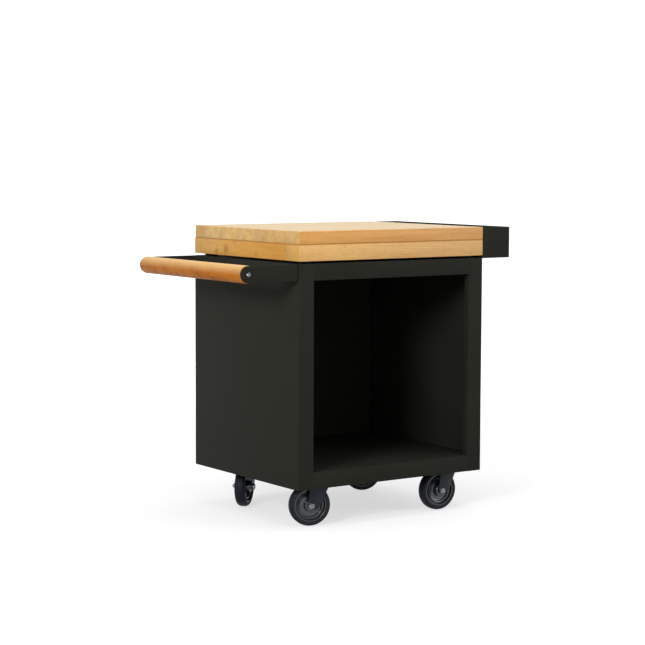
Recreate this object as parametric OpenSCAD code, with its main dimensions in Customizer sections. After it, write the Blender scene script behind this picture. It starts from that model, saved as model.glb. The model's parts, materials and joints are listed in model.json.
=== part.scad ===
// Wheeled outdoor work table. A folded steel cabinet for firewood stands on four swivel
// casters and carries a two-layer wooden block. A push handle is bolted to its left side
// and a steel herb trough hangs from the right end of the block.
// The front is at -Y, the handle at -X, the trough at +X, and the floor is z = 0.

/* [Cabinet] */
// Width of the cabinet, and of the block above it
cabinet_w = 685; // [560:5:900]
// Depth of the cabinet, and of the block above it
cabinet_d = 590; // [480:5:760]
// Height of the cabinet's steel body
cabinet_h = 665; // [450:5:800]
// Thickness of the cabinet's sheet steel
sheet = 2; // [1.5:0.5:3]
// Width of the front stiles
stile_w = 53; // [40:1:80]
// Height of the front rails
rail_h = 50; // [42:1:56]
// Depth of the fold behind the front opening
return_d = 22; // [14:1:28]
// Width of the flanges that hold the back panel
back_flange = 25; // [15:1:40]
// Gap at the seam between a stile and a rail
seam_gap = 0.4; // [0.2:0.1:0.8]

/* [Block] */
// Height of the upper layer, of staves
stave_h = 39; // [25:1:60]
// Height of the lower layer, of apron boards
apron_h = 49; // [30:1:70]
// Width of the apron boards
apron_w = 70; // [55:1:110]
// Shadow gap between the cabinet and the block
block_gap = 7; // [4:0.5:12]
// Set-back of the staves from the back edge of the aprons
stave_setback = 4; // [0:0.5:8]
// Distance of the pads from the sides of the cabinet
pad_inset = 40; // [30:5:180]
// Diameter of the pads
pad_dia = 40; // [30:1:50]

/* [Handle] */
// Distance from the cabinet's side to the axis of the grip
handle_reach = 174; // [120:2:240]
// Diameter of the wooden grip
grip_dia = 52; // [40:1:60]
// Height of the bracket's flat steel
strip_h = 49; // [36:1:60]
// Thickness of the bracket's flat steel
bracket_t = 5; // [4:0.5:8]
// Inner radius of the bracket's two bends
bend_r = 3; // [1:0.5:8]
// Set-back of the bracket's arms from the cabinet's front and back faces
arm_setback = 1; // [0:0.5:6]

/* [Trough] */
// Outer width of the trough
trough_w = 108; // [80:2:160]
// Outer height of the trough
trough_h = 96; // [70:1:130]
// Drop of the trough's rim below the worktop
trough_drop = 1; // [0:0.5:10]

/* [Casters] */
// Diameter of the wheels
wheel_dia = 125; // [115:1:127]
// Width of the tyres
tyre_w = 34; // [28:1:38]
// Height of the casters from the floor to their top plates
caster_h = 155; // [154:1:170]
// Trail of the wheel axle behind the swivel axis
trail = 24; // [20:1:34]
// Height of the channels that carry the casters
bearer_h = 13; // [12:1:20]
// Distance of the swivel axes from the cabinet's sides
caster_side_inset = 103; // [98:1:140]
// Distance of the rear swivel axes from the cabinet's back
caster_rear_inset = 140; // [98:1:180]
// Clearance between a turning wheel and the cabinet's front rail
swing_clear = 4.2; // [2:0.1:10]
// Turn of the front left caster, from its wheel trailing towards the handle
turn_fl = -20; // [-180:1:180]
// Turn of the front right caster
turn_fr = -4; // [-180:1:180]
// Turn of the rear left caster
turn_bl = 42; // [-180:1:180]
// Turn of the rear right caster
turn_br = -24; // [-180:1:180]

/* [Hidden] */
$fn = 64;
STEEL = "#2b2b29";
PRESSED = "#30343a";
ZINC = "#b9bdc0";
RUBBER = "#1d1f23";
NYLON = "#2b2e33";
WOOD = "#d7a563";
WOOD_END = "#cfa668";
GRIP = "#c88a48";

// Running and assembly clearances, and how far a cutting shape runs past what it cuts
running = 0.05;
bolt_play = 0.25;
over = 1;

// Overall length, with the origin under the middle of it
grip_r = grip_dia / 2;
overall_l = handle_reach + grip_r + cabinet_w + trough_w;
x_left = -overall_l / 2 + handle_reach + grip_r;
x_right = x_left + cabinet_w;
y_front = -cabinet_d / 2;
y_back = cabinet_d / 2;

// Heights of the cabinet and the block
floor_top = caster_h + bearer_h + sheet;
cabinet_z0 = floor_top - rail_h;
cabinet_z1 = cabinet_z0 + cabinet_h;
apron_z0 = cabinet_z1 + block_gap;
stave_z0 = apron_z0 + apron_h;
worktop_z = stave_z0 + stave_h;

// Seams between the five staves, as shares of the worktop's depth from the front
stave_seams = [0, 0.12, 0.42, 0.583, 0.908, 1];

// M8 hardware: shank radius, hexagon across the flats, head and nut heights
m8_r = 4;
m8_hex = 13;
m8_head_h = 5.3;
m8_nut_h = 6.5;
m8_button_r = 7;
m8_button_h = 4.4;
m8_button_rim = 2;
m8_button_top_r = 4.4;
m8_socket_hex = 5;
m8_socket_depth = 2.6;
m8_hole_r = m8_r + bolt_play;
m8_thread_out = 1;

// Places of four screws in a row, in pitches from the middle
screw_steps = [-1.5, -0.5, 0.5, 1.5];

// Handle hardware
bracket_drop = 0.5;
strip_r = strip_h / 2;
grip_z = cabinet_z1 - bracket_drop - strip_r;
insert_r = 6;
insert_l = 22;
grip_bolt_l = 25;
bracket_screw_pitch = cabinet_d / 5;
bracket_screws_y = [for (s = screw_steps) s * bracket_screw_pitch];

// Trough hardware
trough_z1 = worktop_z - trough_drop;
trough_z0 = trough_z1 - trough_h;
trough_screw_r = 2.5;
trough_screw_l = 30;
trough_screw_head_r = 5.5;
trough_screw_head_h = 3;
trough_screw_z = (max(apron_z0, trough_z0 + sheet) + stave_z0) / 2;
trough_screw_pitch = (cabinet_d - 2 * apron_w) / 3.5;
trough_screws_y = [for (s = screw_steps) s * trough_screw_pitch];

// Block hardware
block_screw_depth = 26;

// Casters: wheel, fork, swivel head and mounting plate
wheel_r = wheel_dia / 2;
tyre_thick = 12.5;
tyre_shoulder = 8;
rim_r = wheel_r - tyre_thick;
rim_t = 4.5;
rim_inset = 2;
rim_w = tyre_w - 2 * rim_inset;
web_t = 8;
hub_r = 17.5;
hub_bore_r = 7;
hub_stand = 5;
hub_w = tyre_w + 2 * hub_stand;
ring_r = 39;
ring_t = 3;
ring_w = 24;
axle_r = 5;
bearing_r = 11;
bearing_w = 9;
bearing_lip = 3;
hub_play = 0.3;
hub_gap = 2;
fork_gap = hub_w + 2 * hub_gap;
fork_t = 3;
fork_boss_r = 10;
fork_toe_r = 12;
fork_toe_x = 15;
fork_back = 28;
fork_fore = 30;
fork_brow = 18;
// Angle short of a true tangent, so that a leg's edge crosses its round end cleanly
touch_in = 4;
axle_hex = 17;
axle_head_h = 8;
axle_tail = 3;
plate_l = 95;
plate_d = 67;
plate_t = 3;
plate_hole_x = 37.5;
plate_hole_y = 22.5;
ball_r = 3;
ball_count = 12;
ball_ring_r = 22;
ball_drop = 9;
race_gap = 3;
race_t = 7.5;
crown_r = 30;
lip_t = 2;
lip_lift = 2;
lip_play = 0.6;
kingpin_r = 6;
kingpin_head_r = 11;
kingpin_head_h = 3.5;
ball_z = caster_h - plate_t - ball_drop;
race_top = ball_z - race_gap / 2;
crown_z = race_top - race_t;
fork_top_z = crown_z - fork_t;
bearer_inset = 1;
bearer_w = plate_d - 2 * bearer_inset;
bearer_t = 3;

// How far a wheel sweeps round its swivel axis at the height of the cabinet's lower edge
wheel_over = max(0, cabinet_z0 - wheel_r);
wheel_chord = sqrt(max(0, wheel_r * wheel_r - wheel_over * wheel_over));
tread_half = tyre_w / 2 - tyre_shoulder;
wheel_reach = sqrt(pow(trail + wheel_chord, 2) + tread_half * tread_half);
caster_front_inset = max(sheet + wheel_reach + swing_clear, return_d + plate_d / 2);
caster_x = [x_left + caster_side_inset, x_right - caster_side_inset];
caster_y = [y_front + caster_front_inset, y_back - caster_rear_inset];
caster_at = [for (y = caster_y) for (x = caster_x) [x, y]];
caster_turn = [turn_fl, turn_fr, turn_bl, turn_br];

// Places of the pads and screws between the cabinet and the block
pad_at = [
    for (x = [x_left + pad_inset, x_right - pad_inset])
        for (y = [y_front + apron_w / 2, y_back - apron_w / 2]) [x, y]
];

// Shared shapes

// A cylinder along +X, +Y or +Z from a point
module rod_x(r, l) {
    rotate([0, 90, 0]) cylinder(r = r, h = l);
}

module rod_y(r, l) {
    rotate([-90, 0, 0]) cylinder(r = r, h = l);
}

// A hexagonal prism along +Z, given its size across the flats
module hexagon(across, h) {
    cylinder(r = across / sqrt(3), h = h, $fn = 6);
}

// The rounded outside of a right-angled fold, in the corner square at the origin
module fold_corner() {
    intersection() {
        square(sheet);
        translate([sheet, sheet]) circle(r = sheet);
    }
}

// A button head along +Z with its hexagon socket, flat side at z = 0
module button_head() {
    crown_h = m8_button_h - m8_button_rim;
    difference() {
        union() {
            cylinder(r = m8_button_r, h = m8_button_rim);
            translate([0, 0, m8_button_rim])
                cylinder(r1 = m8_button_r, r2 = m8_button_top_r, h = crown_h);
        }
        translate([0, 0, m8_button_h - m8_socket_depth])
            hexagon(m8_socket_hex, m8_socket_depth + over);
    }
}

// Cabinet

// Plan of a side panel: side, front stile with its return, and flange for the back panel
module side_profile() {
    translate([0, sheet]) square([sheet, cabinet_d - 2 * sheet]);
    fold_corner();
    translate([sheet, 0]) square([stile_w - 2 * sheet, sheet]);
    translate([stile_w, 0]) mirror([1, 0]) fold_corner();
    translate([stile_w - sheet, sheet]) square([sheet, return_d - sheet]);
    translate([0, cabinet_d]) mirror([0, 1]) fold_corner();
    translate([sheet, cabinet_d - sheet]) square([back_flange - sheet, sheet]);
}

module side_panel() {
    translate([0, y_front, cabinet_z0])
        linear_extrude(cabinet_h) side_profile();
}

module left_side_panel() {
    color(STEEL) difference() {
        translate([x_left, 0, 0]) side_panel();
        for (y = bracket_screws_y)
            translate([x_left - over, y, grip_z]) rod_x(m8_hole_r, sheet + 2 * over);
    }
}

module right_side_panel() {
    color(STEEL) translate([x_right, 0, 0]) mirror([1, 0, 0]) side_panel();
}

module back_panel() {
    color(STEEL)
        translate([x_left + sheet, y_back - 2 * sheet, cabinet_z0])
            cube([cabinet_w - 2 * sheet, sheet, cabinet_h]);
}

// A deck between the side panels, notched round the stiles, with a rail folded down in front
module deck(z_top) {
    rail_x = stile_w + seam_gap;
    translate([x_left, y_front, z_top - sheet]) {
        translate([sheet, return_d, 0])
            cube([cabinet_w - 2 * sheet, cabinet_d - return_d - 2 * sheet, sheet]);
        translate([rail_x, sheet, 0])
            cube([cabinet_w - 2 * rail_x, return_d - sheet, sheet]);
    }
    translate([x_left + rail_x, y_front, z_top])
        rotate([90, 0, 90])
            linear_extrude(cabinet_w - 2 * rail_x) {
                mirror([0, 1]) fold_corner();
                translate([0, -rail_h + sheet]) square([sheet, rail_h - 2 * sheet]);
                children();
            }
}

module top_panel() {
    color(STEEL) difference() {
        deck(cabinet_z1) {
            translate([0, -rail_h]) fold_corner();
            translate([sheet, -rail_h]) square([return_d - sheet, sheet]);
        }
        for (p = pad_at)
            translate([p[0], p[1], cabinet_z1 - sheet - over])
                cylinder(r = m8_hole_r, h = sheet + 2 * over);
    }
}

module floor_pan() {
    color(STEEL) deck(floor_top)
        translate([0, -rail_h]) square([sheet, sheet]);
}

// A channel under the floor that takes the bolts of two casters
module caster_bearer(y) {
    color(STEEL) difference() {
        translate([x_left + sheet, y - bearer_w / 2, caster_h])
            difference() {
                cube([cabinet_w - 2 * sheet, bearer_w, bearer_h]);
                translate([-over, bearer_t, bearer_t])
                    cube([cabinet_w, bearer_w - 2 * bearer_t, bearer_h]);
            }
        for (x = caster_x)
            for (sx = [-1, 1], sy = [-1, 1])
                translate([x + sx * plate_hole_x, y + sy * plate_hole_y, caster_h - over])
                    cylinder(r = m8_hole_r, h = bearer_t + 2 * over);
    }
}

// Block

// A board of the lower layer, from its lowest corner
module board(x, y, l, d, z, h) {
    translate([x, y, z]) cube([l, d, h]);
}

module long_apron(y) {
    color(WOOD) difference() {
        board(x_left, y, cabinet_w, apron_w, apron_z0, apron_h);
        for (p = pad_at)
            translate([p[0], p[1], apron_z0 - over])
                cylinder(r = m8_r, h = block_screw_depth + over);
    }
}

module cross_apron(x) {
    color(WOOD) board(x, y_front + apron_w, apron_w, cabinet_d - 2 * apron_w, apron_z0, apron_h);
}

module right_apron() {
    color(WOOD) difference() {
        cross_apron(x_right - apron_w);
        for (y = trough_screws_y)
            translate([x_right - trough_screw_l, y, trough_screw_z])
                rod_x(trough_screw_r, trough_screw_l + over);
    }
}

// A long board of the upper layer; stave 1 is at the front
module stave(i) {
    depth = cabinet_d - stave_setback;
    y0 = y_front + depth * stave_seams[i - 1];
    y1 = y_front + depth * stave_seams[i];
    color(WOOD_END) board(x_left, y0, cabinet_w, y1 - y0, stave_z0, stave_h);
}

module block_pads() {
    color(RUBBER) for (p = pad_at)
        translate([p[0], p[1], cabinet_z1])
            difference() {
                cylinder(r = pad_dia / 2, h = block_gap);
                translate([0, 0, -over]) cylinder(r = m8_hole_r, h = block_gap + 2 * over);
            }
}

module block_screws() {
    head_z = cabinet_z1 - sheet - m8_head_h;
    color(ZINC) for (p = pad_at)
        translate([p[0], p[1], head_z]) {
            hexagon(m8_hex, m8_head_h);
            translate([0, 0, m8_head_h])
                cylinder(r = m8_r, h = sheet + block_gap + block_screw_depth);
        }
}

// Handle

// Plan of a strip's outside, l long towards -X and w wide, with round corners at x = 0
module rounded_end(l, w, r) {
    translate([-l, -w / 2]) square([l - r, w]);
    translate([-l, -w / 2 + r]) square([l, w - 2 * r]);
    for (side = [-1, 1])
        translate([-r, side * (w / 2 - r)]) circle(r = r);
}

// One strip of flat steel, bent twice, with round ends
module handle_bracket() {
    reach = handle_reach + strip_r;
    length = cabinet_d - 2 * arm_setback;
    color(STEEL) difference() {
        intersection() {
            translate([x_left, 0, grip_z - strip_r])
                linear_extrude(strip_h) difference() {
                    rounded_end(reach, length, bend_r + bracket_t);
                    translate([-bracket_t, 0])
                        rounded_end(reach, length - 2 * bracket_t, bend_r);
                }
            translate([x_left, y_back, grip_z])
                rotate([90, 0, 0]) linear_extrude(cabinet_d) {
                    translate([-handle_reach, -strip_r]) square([handle_reach, strip_h]);
                    translate([-handle_reach, 0]) circle(r = strip_r, $fn = 96);
                }
        }
        translate([x_left - handle_reach, y_front - over, grip_z])
            rod_y(m8_hole_r, cabinet_d + 2 * over);
        for (y = bracket_screws_y)
            translate([x_left - bracket_t - over, y, grip_z])
                rod_x(m8_hole_r, bracket_t + 2 * over);
    }
}

// Places a child at both ends of the grip, with +Z pointing out of the grip
module at_grip_ends() {
    end_y = cabinet_d / 2 - arm_setback - bracket_t;
    for (side = [-1, 1])
        translate([x_left - handle_reach, side * end_y, grip_z])
            rotate([-90 * side, 0, 0]) children();
}

module handle_grip() {
    length = cabinet_d - 2 * (arm_setback + bracket_t);
    color(GRIP) difference() {
        translate([x_left - handle_reach, -length / 2, grip_z])
            rotate([-90, 0, 0]) cylinder(r = grip_r, h = length, $fn = 96);
        at_grip_ends()
            translate([0, 0, -insert_l]) cylinder(r = insert_r, h = insert_l + over);
    }
}

module grip_inserts() {
    color(ZINC) at_grip_ends()
        translate([0, 0, -insert_l])
            difference() {
                cylinder(r = insert_r, h = insert_l);
                translate([0, 0, -over]) cylinder(r = m8_r + running, h = insert_l + 2 * over);
            }
}

module grip_bolts() {
    color(ZINC) at_grip_ends() {
        translate([0, 0, bracket_t]) button_head();
        translate([0, 0, bracket_t - grip_bolt_l]) cylinder(r = m8_r, h = grip_bolt_l);
    }
}

module bracket_screws() {
    shank = bracket_t + sheet + m8_nut_h + m8_thread_out;
    color(ZINC) for (y = bracket_screws_y)
        translate([x_left - bracket_t, y, grip_z]) {
            rotate([0, -90, 0]) button_head();
            rod_x(m8_r, shank);
        }
}

module bracket_nuts() {
    color(ZINC) for (y = bracket_screws_y)
        translate([x_left + sheet, y, grip_z])
            rotate([0, 90, 0]) difference() {
                hexagon(m8_hex, m8_nut_h);
                translate([0, 0, -over]) cylinder(r = m8_r, h = m8_nut_h + 2 * over);
            }
}

// Trough

module trough() {
    color(STEEL) difference() {
        translate([x_right, y_front, trough_z0]) cube([trough_w, cabinet_d, trough_h]);
        translate([x_right + sheet, y_front + sheet, trough_z0 + sheet])
            cube([trough_w - 2 * sheet, cabinet_d - 2 * sheet, trough_h]);
        for (y = trough_screws_y)
            translate([x_right - over, y, trough_screw_z])
                rod_x(trough_screw_r + bolt_play, sheet + 2 * over);
    }
}

module trough_screws() {
    color(ZINC) for (y = trough_screws_y)
        translate([x_right + sheet, y, trough_screw_z]) {
            rod_x(trough_screw_head_r, trough_screw_head_h);
            translate([-trough_screw_l - sheet, 0, 0])
                rod_x(trough_screw_r, trough_screw_l + sheet);
        }
}

// Casters

// Places a child at caster i, on the floor under its swivel axis; turned also turns it
module at_caster(i, turned = true) {
    translate([caster_at[i][0], caster_at[i][1], 0])
        rotate([0, 0, turned ? caster_turn[i] : 0]) children();
}

// The ring that the swivel balls run in
module ball_track() {
    translate([0, 0, ball_z])
        rotate_extrude() translate([ball_ring_r, 0]) circle(r = ball_r + running, $fn = 32);
}

module caster_plate(i) {
    housing_r = crown_r + lip_play + lip_t;
    color(PRESSED) at_caster(i, false) difference() {
        union() {
            translate([-plate_l / 2, -plate_d / 2, caster_h - plate_t])
                cube([plate_l, plate_d, plate_t]);
            translate([0, 0, ball_z + race_gap / 2])
                cylinder(r = housing_r, h = caster_h - plate_t - ball_z - race_gap / 2);
            translate([0, 0, crown_z + lip_lift]) difference() {
                cylinder(r = housing_r, h = race_t + race_gap);
                translate([0, 0, -over])
                    cylinder(r = housing_r - lip_t, h = race_t + race_gap + 2 * over);
            }
        }
        ball_track();
        translate([0, 0, crown_z]) cylinder(r = kingpin_r, h = caster_h);
        for (sx = [-1, 1], sy = [-1, 1])
            translate([sx * plate_hole_x, sy * plate_hole_y, caster_h - plate_t - over])
                cylinder(r = m8_hole_r, h = plate_t + 2 * over);
    }
}

// Places a child at every bolt of every caster plate
module at_plate_bolts() {
    for (p = caster_at)
        for (sx = [-1, 1], sy = [-1, 1])
            translate([p[0] + sx * plate_hole_x, p[1] + sy * plate_hole_y, caster_h])
                children();
}

module caster_bolts() {
    shank = plate_t + bearer_t + m8_nut_h + m8_thread_out;
    color(ZINC) at_plate_bolts() translate([0, 0, -plate_t]) {
        translate([0, 0, -m8_head_h]) hexagon(m8_hex, m8_head_h);
        cylinder(r = m8_r, h = shank);
    }
}

module caster_nuts() {
    color(ZINC) at_plate_bolts() translate([0, 0, bearer_t]) difference() {
        hexagon(m8_hex, m8_nut_h);
        translate([0, 0, -over]) cylinder(r = m8_r, h = m8_nut_h + 2 * over);
    }
}

module kingpins() {
    head_z = fork_top_z - running - kingpin_head_h;
    color(ZINC) for (i = [0:3]) at_caster(i) {
        translate([0, 0, head_z]) cylinder(r = kingpin_head_r, h = kingpin_head_h);
        translate([0, 0, head_z]) cylinder(r = kingpin_r, h = caster_h - head_z);
    }
}

module swivel_balls() {
    color(ZINC) for (i = [0:3]) at_caster(i)
        for (n = [0:ball_count - 1])
            rotate([0, 0, n * 360 / ball_count])
                translate([ball_ring_r, 0, ball_z]) sphere(r = ball_r, $fn = 24);
}

// Point on a circle where a line from another point meets it, on one side
function touch(centre, r, from, side) =
    let (
        away = from - centre,
        a = atan2(away[1], away[0]) + side * (acos(r / norm(away)) - touch_in)
    )
    centre + r * [cos(a), sin(a)];

// Outline of a fork leg, seen along the axle, with the swivel axis at x = 0. Its lower end is
// a boss round the axle and a toe ahead of it, with a level edge under both.
module leg_profile() {
    top = fork_top_z + fork_t;
    boss = [-trail, wheel_r];
    toe = boss + [fork_toe_x, fork_toe_r - fork_boss_r];
    back = [-fork_back, top];
    brow = [fork_fore, top - fork_brow];
    translate(boss) circle(r = fork_boss_r);
    translate(toe) circle(r = fork_toe_r);
    polygon([
        touch(boss, fork_boss_r, back, 1),
        boss + fork_boss_r * [sin(touch_in), -cos(touch_in)],
        toe - fork_toe_r * [sin(touch_in), cos(touch_in)],
        touch(toe, fork_toe_r, brow, -1),
        brow,
        [fork_fore, top],
        back
    ]);
}

module fork(i) {
    leg_y = fork_gap / 2;
    color(PRESSED) at_caster(i) difference() {
        union() {
            for (side = [0, 1]) mirror([0, side, 0])
                translate([0, leg_y + fork_t, 0]) rotate([90, 0, 0])
                    linear_extrude(fork_t) leg_profile();
            translate([-fork_back, -leg_y, fork_top_z])
                cube([fork_back + fork_fore, fork_gap, fork_t]);
            translate([0, 0, fork_top_z]) cylinder(r = crown_r, h = fork_t + race_t);
        }
        ball_track();
        translate([0, 0, fork_top_z - over])
            cylinder(r = kingpin_r + running, h = fork_t + race_t + 2 * over);
        translate([-trail, -leg_y - fork_t - over, wheel_r])
            rod_y(axle_r + running, fork_gap + 2 * (fork_t + over));
    }
}

module axle_bolt(i) {
    outer = fork_gap / 2 + fork_t;
    color(ZINC) at_caster(i) translate([-trail, 0, wheel_r]) {
        translate([0, -outer - axle_head_h, 0]) rotate([-90, 0, 0]) hexagon(axle_hex, axle_head_h);
        translate([0, -outer, 0]) rod_y(axle_r, 2 * outer + axle_head_h + axle_tail);
    }
}

module axle_nut(i) {
    outer = fork_gap / 2 + fork_t;
    color(ZINC) at_caster(i) translate([-trail, outer, wheel_r])
        rotate([-90, 0, 0]) difference() {
            hexagon(axle_hex, axle_head_h);
            translate([0, 0, -over]) cylinder(r = axle_r, h = axle_head_h + 2 * over);
        }
}

// Turns a profile of radius and width about the axle of caster i
module turned_on_axle(i) {
    at_caster(i) translate([-trail, 0, wheel_r])
        rotate([90, 0, 0]) rotate_extrude($fn = 96) children();
}

module wheel(i) {
    color(NYLON) difference() {
        turned_on_axle(i) {
            translate([hub_bore_r, -hub_w / 2]) square([hub_r - hub_bore_r, hub_w]);
            translate([hub_r, -web_t / 2]) square([rim_r - rim_t - hub_r, web_t]);
            translate([ring_r - ring_t, -ring_w / 2]) square([ring_t, ring_w]);
            translate([rim_r - rim_t, -rim_w / 2]) square([rim_t, rim_w]);
        }
        at_caster(i) translate([-trail, 0, wheel_r]) for (side = [-1, 1])
            rotate([-90 * side, 0, 0]) translate([0, 0, hub_w / 2 - bearing_w])
                cylinder(r = bearing_r, h = bearing_w + over);
    }
}

module tyre(i) {
    shoulder = tyre_w / 2 - tyre_shoulder;
    color(RUBBER) turned_on_axle(i) {
        translate([rim_r, -tyre_w / 2]) square([tyre_thick - tyre_shoulder, tyre_w]);
        translate([rim_r, -shoulder]) square([tyre_thick, 2 * shoulder]);
        for (side = [-1, 1])
            intersection() {
                translate([wheel_r - tyre_shoulder, side * shoulder]) circle(r = tyre_shoulder);
                translate([rim_r, side > 0 ? 0 : -tyre_w / 2]) square([tyre_thick, tyre_w / 2]);
            }
    }
}

module hub_bearings(i) {
    lip = hub_gap - hub_play;
    color(ZINC) at_caster(i) translate([-trail, 0, wheel_r]) for (side = [-1, 1])
        rotate([-90 * side, 0, 0]) translate([0, 0, hub_w / 2 - bearing_w]) difference() {
            union() {
                cylinder(r = bearing_r, h = bearing_w);
                cylinder(r = axle_r + bearing_lip, h = bearing_w + lip);
            }
            translate([0, 0, -over]) cylinder(r = axle_r + running, h = bearing_w + lip + 2 * over);
        }
}

left_side_panel();
right_side_panel();
back_panel();
top_panel();
floor_pan();
caster_bearer(caster_y[0]);  // front_caster_bearer
caster_bearer(caster_y[1]);  // rear_caster_bearer
long_apron(y_front);  // front_apron
long_apron(y_back - apron_w);  // back_apron
cross_apron(x_left);  // left_apron
right_apron();
stave(1);  // stave_1
stave(2);  // stave_2
stave(3);  // stave_3
stave(4);  // stave_4
stave(5);  // stave_5
block_pads();
block_screws();
handle_bracket();
handle_grip();
grip_inserts();
grip_bolts();
bracket_screws();
bracket_nuts();
trough();
trough_screws();
caster_plate(0);  // caster_plate_fl
caster_plate(1);  // caster_plate_fr
caster_plate(2);  // caster_plate_bl
caster_plate(3);  // caster_plate_br
caster_bolts();
caster_nuts();
kingpins();
swivel_balls();
fork(0);  // fork_fl
fork(1);  // fork_fr
fork(2);  // fork_bl
fork(3);  // fork_br
axle_bolt(0);  // axle_bolt_fl
axle_bolt(1);  // axle_bolt_fr
axle_bolt(2);  // axle_bolt_bl
axle_bolt(3);  // axle_bolt_br
axle_nut(0);  // axle_nut_fl
axle_nut(1);  // axle_nut_fr
axle_nut(2);  // axle_nut_bl
axle_nut(3);  // axle_nut_br
wheel(0);  // wheel_fl
wheel(1);  // wheel_fr
wheel(2);  // wheel_bl
wheel(3);  // wheel_br
tyre(0);  // tyre_fl
tyre(1);  // tyre_fr
tyre(2);  // tyre_bl
tyre(3);  // tyre_br
hub_bearings(0);  // hub_bearings_fl
hub_bearings(1);  // hub_bearings_fr
hub_bearings(2);  // hub_bearings_bl
hub_bearings(3);  // hub_bearings_br
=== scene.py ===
"""Looks of a wheeled outdoor work table: a black steel cabinet under a thick wooden block.

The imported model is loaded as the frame. Each sub-assembly is a class that measures its place
from the frame, shapes its pieces with Blender's own modelling operators and dresses them.
Lengths are in metres, and MM turns a size in millimetres into metres.
"""

from __future__ import annotations

import json
import logging
import math
import random
from contextlib import contextmanager
from dataclasses import dataclass, field, replace
from enum import Enum
from typing import Callable, Iterator, Sequence

import bmesh
import bpy
from bpy.types import Material, Node, NodeSocket, NodeTree, Object
from mathutils import Matrix, Vector


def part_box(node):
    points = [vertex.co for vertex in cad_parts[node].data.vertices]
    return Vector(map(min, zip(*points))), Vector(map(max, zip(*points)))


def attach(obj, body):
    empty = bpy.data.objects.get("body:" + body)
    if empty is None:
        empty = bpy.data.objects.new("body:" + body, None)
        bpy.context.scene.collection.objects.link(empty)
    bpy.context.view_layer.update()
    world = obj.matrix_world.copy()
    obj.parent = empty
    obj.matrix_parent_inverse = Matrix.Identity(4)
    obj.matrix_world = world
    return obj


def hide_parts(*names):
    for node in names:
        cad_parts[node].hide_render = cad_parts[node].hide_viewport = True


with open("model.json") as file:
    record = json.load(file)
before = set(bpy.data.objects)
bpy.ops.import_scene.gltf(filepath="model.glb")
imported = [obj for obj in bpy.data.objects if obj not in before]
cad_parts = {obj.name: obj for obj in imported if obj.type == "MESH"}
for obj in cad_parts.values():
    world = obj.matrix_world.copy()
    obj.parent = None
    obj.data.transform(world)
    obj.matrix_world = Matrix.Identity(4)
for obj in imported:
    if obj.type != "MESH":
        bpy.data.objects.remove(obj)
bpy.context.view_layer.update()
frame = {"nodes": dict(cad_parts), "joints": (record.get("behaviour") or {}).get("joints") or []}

LOG = logging.getLogger("work_table")
MM = 0.001
QUARTER = math.pi / 2
# Points that are closer than this are the same point
SAME_POINT = 1e-6
# The colour sockets of a Mix node, which have numbers because all its types share their names
MIX_A, MIX_B, MIX_OUT = 6, 7, 2
Point = tuple[float, float, float]
Test = Callable[[Vector], bool]


def near(a: float, b: float, slack: float = 0.05 * MM) -> bool:
    """Says whether two lengths are the same."""
    return abs(a - b) < slack


def linear(colour: str) -> tuple[float, float, float, float]:
    """Turns an sRGB hex colour into the linear colour that a shader socket takes.

    Args:
        colour: Six hex digits after a hash sign.

    Returns:
        Red, green, blue and full opacity.
    """
    parts = [int(colour[i:i + 2], 16) / 255 for i in (1, 3, 5)]
    red, green, blue = (p / 12.92 if p <= 0.04045 else ((p + 0.055) / 1.055) ** 2.4 for p in parts)
    return red, green, blue, 1.0


def add_node(
    tree: NodeTree,
    kind: str,
    settings: dict[str, object] | None = None,
    inputs: dict[str | int, object] | None = None,
    stops: Sequence[tuple[float, str]] = (),
) -> Node:
    """Adds a shader node, sets it up and links it.

    Args:
        tree: The material's or the world's node tree.
        kind: The node's type.
        settings: The node's own properties.
        inputs: A value or an output socket for each input that is set.
        stops: Positions and hex colours of a colour ramp.

    Returns:
        The node.
    """
    made = tree.nodes.new(kind)
    for key, value in (settings or {}).items():
        setattr(made, key, value)
    for key, value in (inputs or {}).items():
        if isinstance(value, NodeSocket):
            tree.links.new(value, made.inputs[key])
        else:
            made.inputs[key].default_value = value
    if stops:
        ramp = made.color_ramp.elements
        while len(ramp) < len(stops):
            ramp.new(0.5)
        for element, (place, colour) in zip(ramp, stops):
            element.position = place
            element.color = linear(colour)
    return made


def plain_rays(tree: NodeTree) -> NodeSocket:
    """Marks the rays from the camera, in gloss and through glass, which see the backdrop as it looks.

    Args:
        tree: The material's or the world's node tree.

    Returns:
        The output that is 1 for those rays and 0 for the others.
    """
    path = add_node(tree, "ShaderNodeLightPath").outputs
    mark = path["Is Camera Ray"]
    for kind in ("Is Glossy Ray", "Is Transmission Ray"):
        mark = add_node(tree, "ShaderNodeMath", {"operation": "MAXIMUM"}, {0: mark, 1: path[kind]}).outputs[0]
    return mark


def per_metre(size_mm: float) -> float:
    """Gives the scale at which a pattern in metres repeats once in a size in millimetres."""
    return 1 / (size_mm * MM)


# Modelling


class Part(Enum):
    """What is picked in edit mode."""

    VERTS = "VERT"
    EDGES = "EDGE"
    FACES = "FACE"


def deselect_all() -> None:
    """Deselects every object, the frame's nodes too."""
    bpy.ops.object.select_all(action="DESELECT")


def select_only(piece: Object) -> None:
    """Selects one object and makes it the active one.

    Args:
        piece: The object.
    """
    deselect_all()
    piece.select_set(True)
    bpy.context.view_layer.objects.active = piece


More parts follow.
